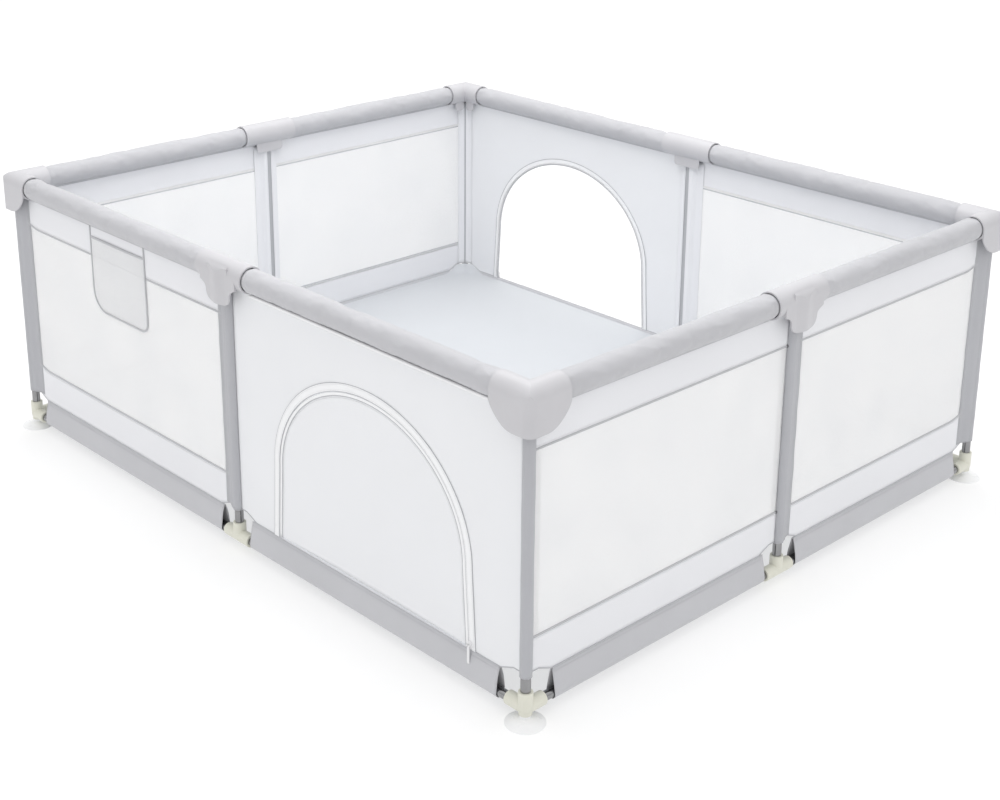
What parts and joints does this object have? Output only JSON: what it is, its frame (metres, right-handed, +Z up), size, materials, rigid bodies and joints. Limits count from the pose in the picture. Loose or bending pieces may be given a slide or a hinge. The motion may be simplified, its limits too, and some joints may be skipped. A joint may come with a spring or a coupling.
{
  "type": "baby playpen",
  "caption": "Large rectangular fabric playpen with padded top rails, sheer net walls, arched zip doors, an outside pocket, a floor sheet and suction-cup feet.",
  "frame": {"origin": "on the floor, below the middle of the enclosure", "axes": "+X along the long side, -Y towards the front side with the closed door, +Z up"},
  "size_m": [1.816, 1.5266, 0.6585],
  "materials": {
    "rail_cover": "grey coated Oxford cloth",
    "sleeve_cloth": "grey Oxford cloth",
    "wall_net": "fine white polyester net with cloth bands",
    "door_cloth": "white polyester cloth",
    "pocket_net": "fine white net",
    "mat_cloth": "pale blue-grey cloth",
    "zipper_tape": "white woven tape",
    "zipper_metal": "white enamelled zinc",
    "cap_plastic": "moulded, fine texture",
    "connector_plastic": "cream, moulded",
    "tube_steel": "plated steel",
    "cup_rubber": "white soft vinyl"
  },
  "bodies": {
    "frame": {"back_bottom_sleeves": "sleeve_cloth", "back_door_panel": "door_cloth", "back_left_corner_cap": "cap_plastic", "back_left_corner_connector": "connector_plastic", "back_left_post_sleeve": "sleeve_cloth", "back_mesh_panel": "wall_net", "back_mid_cap": "cap_plastic", "back_mid_connector": "connector_plastic", "back_mid_post_sleeve": "sleeve_cloth", "back_rail_pads": "rail_cover", "back_right_corner_cap": "cap_plastic", "back_right_corner_connector": "connector_plastic", "back_right_post_sleeve": "sleeve_cloth", "back_zipper_tape": "zipper_tape", "floor_mat": "mat_cloth", "front_bottom_sleeves": "sleeve_cloth", "front_door_panel": "door_cloth", "front_left_corner_cap": "cap_plastic", "front_left_corner_connector": "connector_plastic", "front_left_post_sleeve": "sleeve_cloth", "front_mesh_panel": "wall_net", "front_mid_cap": "cap_plastic", "front_mid_connector": "connector_plastic", "front_mid_post_sleeve": "sleeve_cloth", "front_rail_pads": "rail_cover", "front_right_corner_cap": "cap_plastic", "front_right_corner_connector": "connector_plastic", "front_right_post_sleeve": "sleeve_cloth", "front_zipper_tape": "zipper_tape", "left_back_mesh_panel": "wall_net", "left_bottom_sleeves": "sleeve_cloth", "left_front_mesh_panel": "wall_net", "left_mid_cap": "cap_plastic", "left_mid_connector": "connector_plastic", "left_mid_post_sleeve": "sleeve_cloth", "left_rail_pads": "rail_cover", "net_pocket": "pocket_net", "post_tubes": "tube_steel", "rail_tubes": "tube_steel", "right_back_mesh_panel": "wall_net", "right_bottom_sleeves": "sleeve_cloth", "right_front_mesh_panel": "wall_net", "right_mid_cap": "cap_plastic", "right_mid_connector": "connector_plastic", "right_mid_post_sleeve": "sleeve_cloth", "right_rail_pads": "rail_cover"},
    "back_flap_pleat_1": {"back_flap_pleat_1": "door_cloth"},
    "back_flap_pleat_2": {"back_flap_pleat_2": "door_cloth"},
    "back_flap_pleat_3": {"back_flap_pleat_3": "door_cloth"},
    "back_flap_pleat_4": {"back_flap_pleat_4": "door_cloth"},
    "back_flap_pleat_5": {"back_flap_pleat_5": "door_cloth"},
    "back_left_suction_cup": {"back_left_suction_cup": "cup_rubber"},
    "back_right_suction_cup": {"back_right_suction_cup": "cup_rubber"},
    "back_zipper_pull": {"back_zipper_pull": "zipper_metal"},
    "back_zipper_slider": {"back_zipper_slider": "zipper_metal"},
    "front_door_flap": {"front_door_flap": "door_cloth"},
    "front_left_suction_cup": {"front_left_suction_cup": "cup_rubber"},
    "front_right_suction_cup": {"front_right_suction_cup": "cup_rubber"},
    "front_zipper_pull": {"front_zipper_pull": "zipper_metal"},
    "front_zipper_slider": {"front_zipper_slider": "zipper_metal"}
  },
  "joints": [
    {"name": "front_flap_hinge", "type": "hinge", "parent": "frame", "child": "front_door_flap", "pos_m": [0.435, -0.728, 0.084], "axis": [1, 0, 0], "range_deg": [0, 100]},
    {"name": "back_flap_hinge", "type": "hinge", "parent": "frame", "child": "back_flap_pleat_1", "pos_m": [-0.435, 0.728, 0.084], "axis": [1, 0, 0], "range_deg": [0, 162]},
    {"name": "back_flap_fold_1", "type": "hinge", "parent": "back_flap_pleat_1", "child": "back_flap_pleat_2", "pos_m": [-0.435, 0.75779, 0.0046], "axis": [-1, 0, 0], "range_deg": [0, 180]},
    {"name": "back_flap_fold_2", "type": "hinge", "parent": "back_flap_pleat_2", "child": "back_flap_pleat_3", "pos_m": [-0.435, 0.73474, 0.08072], "axis": [1, 0, 0], "range_deg": [0, 180]},
    {"name": "back_flap_fold_3", "type": "hinge", "parent": "back_flap_pleat_3", "child": "back_flap_pleat_4", "pos_m": [-0.435, 0.76084, 0.00559], "axis": [-1, 0, 0], "range_deg": [0, 180]},
    {"name": "back_flap_fold_4", "type": "hinge", "parent": "back_flap_pleat_4", "child": "back_flap_pleat_5", "pos_m": [-0.435, 0.73779, 0.08171], "axis": [1, 0, 0], "range_deg": [0, 180]},
    {"name": "front_slider_travel", "type": "slide", "parent": "frame", "child": "front_zipper_slider", "axis": [-0.0616, 0, 0.9981], "range_m": [0, 0.14]},
    {"name": "front_pull_swing", "type": "hinge", "parent": "front_zipper_slider", "child": "front_zipper_pull", "pos_m": [0.72871, -0.7331, 0.096], "axis": [-1, 0, 0], "range_deg": [0, 150]},
    {"name": "back_slider_travel", "type": "slide", "parent": "frame", "child": "back_zipper_slider", "axis": [0.0616, 0, 0.9981], "range_m": [0, 0.14]},
    {"name": "back_pull_swing", "type": "hinge", "parent": "back_zipper_slider", "child": "back_zipper_pull", "pos_m": [-0.72871, 0.7331, 0.096], "axis": [1, 0, 0], "range_deg": [0, 150]},
    {"name": "front_left_cup_swivel", "type": "hinge", "parent": "frame", "child": "front_left_suction_cup", "pos_m": [-0.87, -0.725, 0.009], "axis": [0, 0, 1], "range_deg": [-180, 180]},
    {"name": "front_right_cup_swivel", "type": "hinge", "parent": "frame", "child": "front_right_suction_cup", "pos_m": [0.87, -0.725, 0.009], "axis": [0, 0, 1], "range_deg": [-180, 180]},
    {"name": "back_right_cup_swivel", "type": "hinge", "parent": "frame", "child": "back_right_suction_cup", "pos_m": [0.87, 0.725, 0.009], "axis": [0, 0, 1], "range_deg": [-180, 180]},
    {"name": "back_left_cup_swivel", "type": "hinge", "parent": "frame", "child": "back_left_suction_cup", "pos_m": [-0.87, 0.725, 0.009], "axis": [0, 0, 1], "range_deg": [-180, 180]}
  ],
  "couplings": [
    {"joint": "back_flap_fold_1", "follows": "back_flap_hinge", "ratio": 1.1111},
    {"joint": "back_flap_fold_2", "follows": "back_flap_hinge", "ratio": 1.1111},
    {"joint": "back_flap_fold_3", "follows": "back_flap_hinge", "ratio": 1.1111},
    {"joint": "back_flap_fold_4", "follows": "back_flap_hinge", "ratio": 1.1111}
  ]
}
